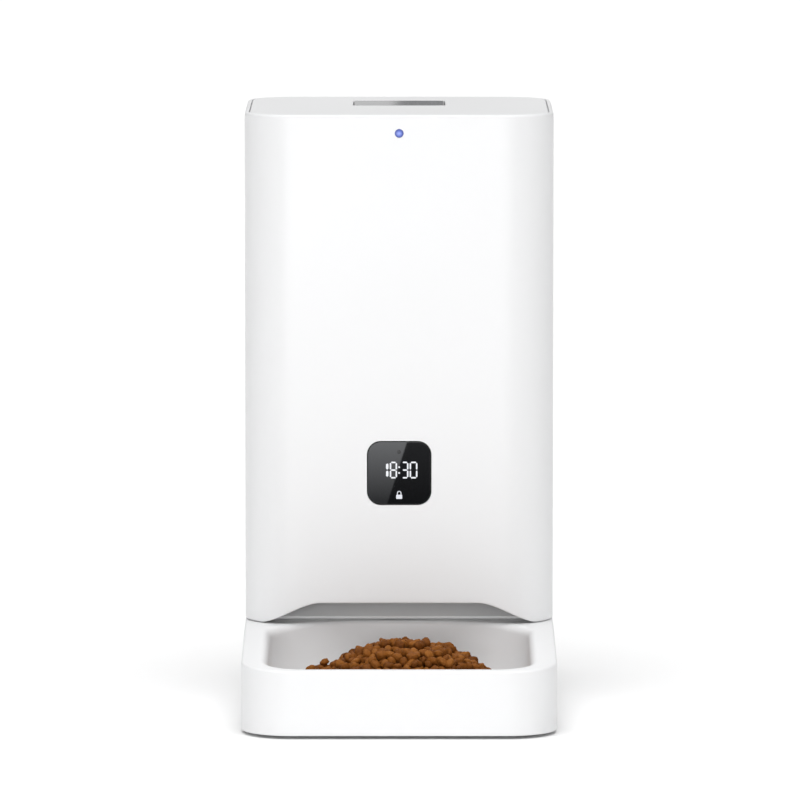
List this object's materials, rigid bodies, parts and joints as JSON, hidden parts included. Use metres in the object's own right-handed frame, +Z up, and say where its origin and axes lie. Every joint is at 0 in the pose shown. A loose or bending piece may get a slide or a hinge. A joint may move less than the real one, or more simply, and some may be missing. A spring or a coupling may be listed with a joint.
{
  "type": "automatic pet feeder",
  "caption": "Free-standing automatic dry-food dispenser: tall white food bin with a clock display, motor-driven portion wheel and a bowl tray in front.",
  "frame": {"origin": "on the floor under the middle of the base and tray", "axes": "+Z up; the bowl and display face -Y; +X is on the right of someone who looks at the display"},
  "size_m": [0.19, 0.3, 0.364],
  "materials": {
    "white_shell": "satin white, faint grey",
    "inner_plastic": "natural moulded",
    "smoked_window": "polished black",
    "button_gloss": "polished grey",
    "rubber_foot": "soft matt",
    "silicone": "soft translucent grey",
    "steel": "plated",
    "circuit_board": "solder resist",
    "acetal": "smooth natural",
    "cell_jacket": "plain sleeve",
    "blue_light": "lit light pipe",
    "black_plastic": "moulded black"
  },
  "bodies": {
    "housing": {"outer_shell": "white_shell", "display_lens": "smoked_window", "display_board": "circuit_board", "status_light": "blue_light", "led_board": "circuit_board", "main_board": "circuit_board", "speaker": "black_plastic", "hopper": "inner_plastic", "rotor_housing": "inner_plastic", "portion_baffle": "acetal", "chute": "white_shell", "outlet_shield": "inner_plastic", "sensor_emitter": "black_plastic", "sensor_receiver": "black_plastic", "gear_motor": "steel", "motor_bracket": "steel", "motor_screw_1": "steel", "motor_screw_2": "steel", "rear_base": "white_shell", "base_plate": "white_shell", "base_screw_1": "steel", "base_screw_2": "steel", "base_screw_3": "steel", "base_screw_4": "steel", "foot_1": "rubber_foot", "foot_2": "rubber_foot", "foot_3": "rubber_foot", "foot_4": "rubber_foot", "battery_1": "cell_jacket", "battery_2": "cell_jacket", "battery_3": "cell_jacket", "battery_contact_front": "steel", "battery_contact_rear": "steel", "dc_inlet": "black_plastic"},
    "lid": {"lid": "white_shell", "lid_seal": "silicone", "desiccant_box": "inner_plastic", "desiccant_cover": "inner_plastic", "button_spring": "steel"},
    "button": {"lid_button": "button_gloss"},
    "rotor": {"impeller": "acetal", "stirrer": "acetal", "drive_shaft": "steel", "drive_gear": "acetal"},
    "pinion": {"motor_pinion": "acetal"},
    "tray": {"bowl_tray": "white_shell", "tray_bottom": "white_shell", "tray_foot_1": "rubber_foot", "tray_foot_2": "rubber_foot"},
    "battery_door": {"battery_door": "white_shell"}
  },
  "joints": [
    {"name": "lid_lift", "type": "slide", "parent": "housing", "child": "lid", "axis": [0, 0, 1], "range_m": [0, 0.08]},
    {"name": "button_pop", "type": "slide", "parent": "lid", "child": "button", "axis": [0, 0, 1], "range_m": [0, 0.008], "deforming": ["button_spring"]},
    {"name": "rotor_spin", "type": "hinge", "parent": "housing", "child": "rotor", "pos_m": [0, 0.075, 0.1], "axis": [0, 0, 1], "continuous": true},
    {"name": "pinion_spin", "type": "hinge", "parent": "housing", "child": "pinion", "pos_m": [0, 0.1002, 0.082], "axis": [0, 0, 1], "continuous": true},
    {"name": "tray_slide", "type": "slide", "parent": "housing", "child": "tray", "axis": [0, -1, 0], "range_m": [0, 0.08]},
    {"name": "battery_door_slide", "type": "slide", "parent": "housing", "child": "battery_door", "axis": [0, 1, 0], "range_m": [0, 0.0098]}
  ],
  "couplings": [
    {"joint": "pinion_spin", "follows": "rotor_spin", "ratio": -2.5714}
  ]
}
